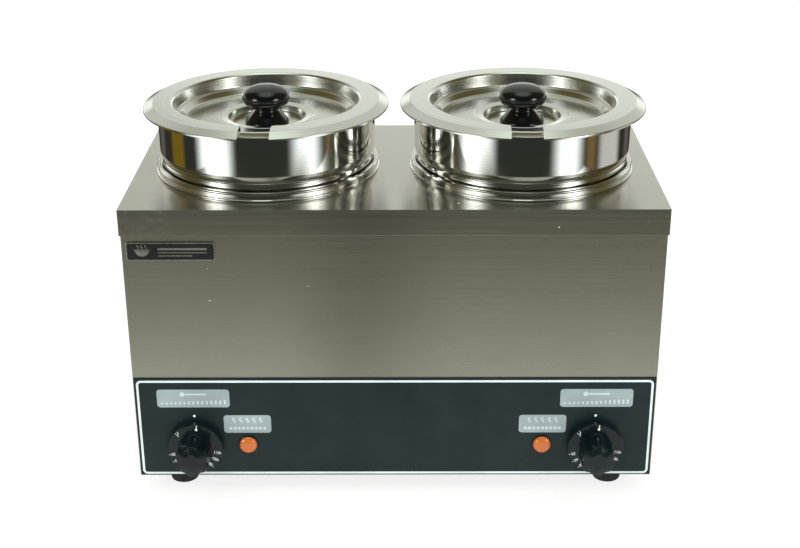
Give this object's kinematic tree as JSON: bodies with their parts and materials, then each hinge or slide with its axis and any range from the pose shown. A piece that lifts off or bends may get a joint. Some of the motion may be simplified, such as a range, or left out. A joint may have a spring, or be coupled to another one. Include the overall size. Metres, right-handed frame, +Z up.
{
  "type": "soup kettle",
  "caption": "Counter-top twin soup kettle: lidded stainless pots standing in thermostat-controlled hot water wells in one casing.",
  "frame": {"origin": "on the counter, under the middle of the overall box", "axes": "+X to the right seen from the front, +Y to the back, +Z up"},
  "size_m": [0.48, 0.298, 0.3625],
  "materials": {
    "brushed": "fine horizontal grain",
    "polished": "mirror polished stainless steel",
    "satin": "pale satin stainless steel",
    "panel": "black satin overlay with a pale printed border",
    "badge": "plain black plate with a silver rim",
    "black": "glossy moulded phenolic",
    "rubber": "matt moulded",
    "lens": "translucent orange",
    "zinc": "bright zinc plate",
    "brass": "plain turned",
    "copper": "drawn copper tube and bulb",
    "ceramic": "unglazed steatite",
    "heater": "heat-darkened steel sheath",
    "live": "brown heat-proof sleeve",
    "neutral": "blue heat-proof sleeve",
    "load": "red heat-proof sleeve",
    "earth": "green and yellow sleeve"
  },
  "bodies": {
    "casing": {"top_deck": "brushed", "body_wrap": "brushed", "back_panel": "brushed", "bottom_plate": "zinc", "control_panel": "panel", "badge_plate": "badge", "well_left": "polished", "heater_left": "heater", "heater_clamp_left": "zinc", "clamp_nut_left": "zinc", "bulb_clip_left": "zinc", "thermostat_left": "ceramic", "lamp_lens_left": "lens", "lamp_body_left": "black", "capillary_left": "copper", "well_right": "polished", "heater_right": "heater", "heater_clamp_right": "zinc", "clamp_nut_right": "zinc", "bulb_clip_right": "zinc", "thermostat_right": "ceramic", "lamp_lens_right": "lens", "lamp_body_right": "black", "capillary_right": "copper", "foot_front_left": "rubber", "foot_screw_front_left": "zinc", "foot_back_left": "rubber", "foot_screw_back_left": "zinc", "foot_front_right": "rubber", "foot_screw_front_right": "zinc", "foot_back_right": "rubber", "foot_screw_back_right": "zinc", "back_screw_bottom_left": "zinc", "back_screw_top_left": "zinc", "back_screw_bottom_right": "zinc", "back_screw_top_right": "zinc", "cable_gland": "black", "gland_nut": "black", "terminal_block": "ceramic", "earth_stud": "brass", "wire_live_left": "live", "wire_live_right": "live", "wire_neutral_left": "neutral", "wire_neutral_right": "neutral", "wire_load_left": "load", "wire_load_right": "load", "wire_earth": "earth"},
    "pot_left": {"pot_left": "polished"},
    "lid_left": {"lid_left": "satin", "lid_knob_left": "black", "lid_screw_left": "zinc"},
    "dial_left": {"dial_knob_left": "black", "thermostat_shaft_left": "brass"},
    "pot_right": {"pot_right": "polished"},
    "lid_right": {"lid_right": "satin", "lid_knob_right": "black", "lid_screw_right": "zinc"},
    "dial_right": {"dial_knob_right": "black", "thermostat_shaft_right": "brass"}
  },
  "joints": [
    {"name": "pot_left_lift", "type": "slide", "parent": "casing", "child": "pot_left", "axis": [0, 0, 1], "range_m": [0, 0.2]},
    {"name": "lid_left_lift", "type": "slide", "parent": "pot_left", "child": "lid_left", "axis": [0, 0, 1], "range_m": [0, 0.12]},
    {"name": "dial_left_turn", "type": "hinge", "parent": "casing", "child": "dial_left", "pos_m": [-0.1845, -0.115, 0.053], "axis": [0, 1, 0], "range_deg": [0, 270]},
    {"name": "pot_right_lift", "type": "slide", "parent": "casing", "child": "pot_right", "axis": [0, 0, 1], "range_m": [0, 0.2]},
    {"name": "lid_right_lift", "type": "slide", "parent": "pot_right", "child": "lid_right", "axis": [0, 0, 1], "range_m": [0, 0.12]},
    {"name": "dial_right_turn", "type": "hinge", "parent": "casing", "child": "dial_right", "pos_m": [0.1845, -0.115, 0.053], "axis": [0, 1, 0], "range_deg": [0, 270]}
  ]
}
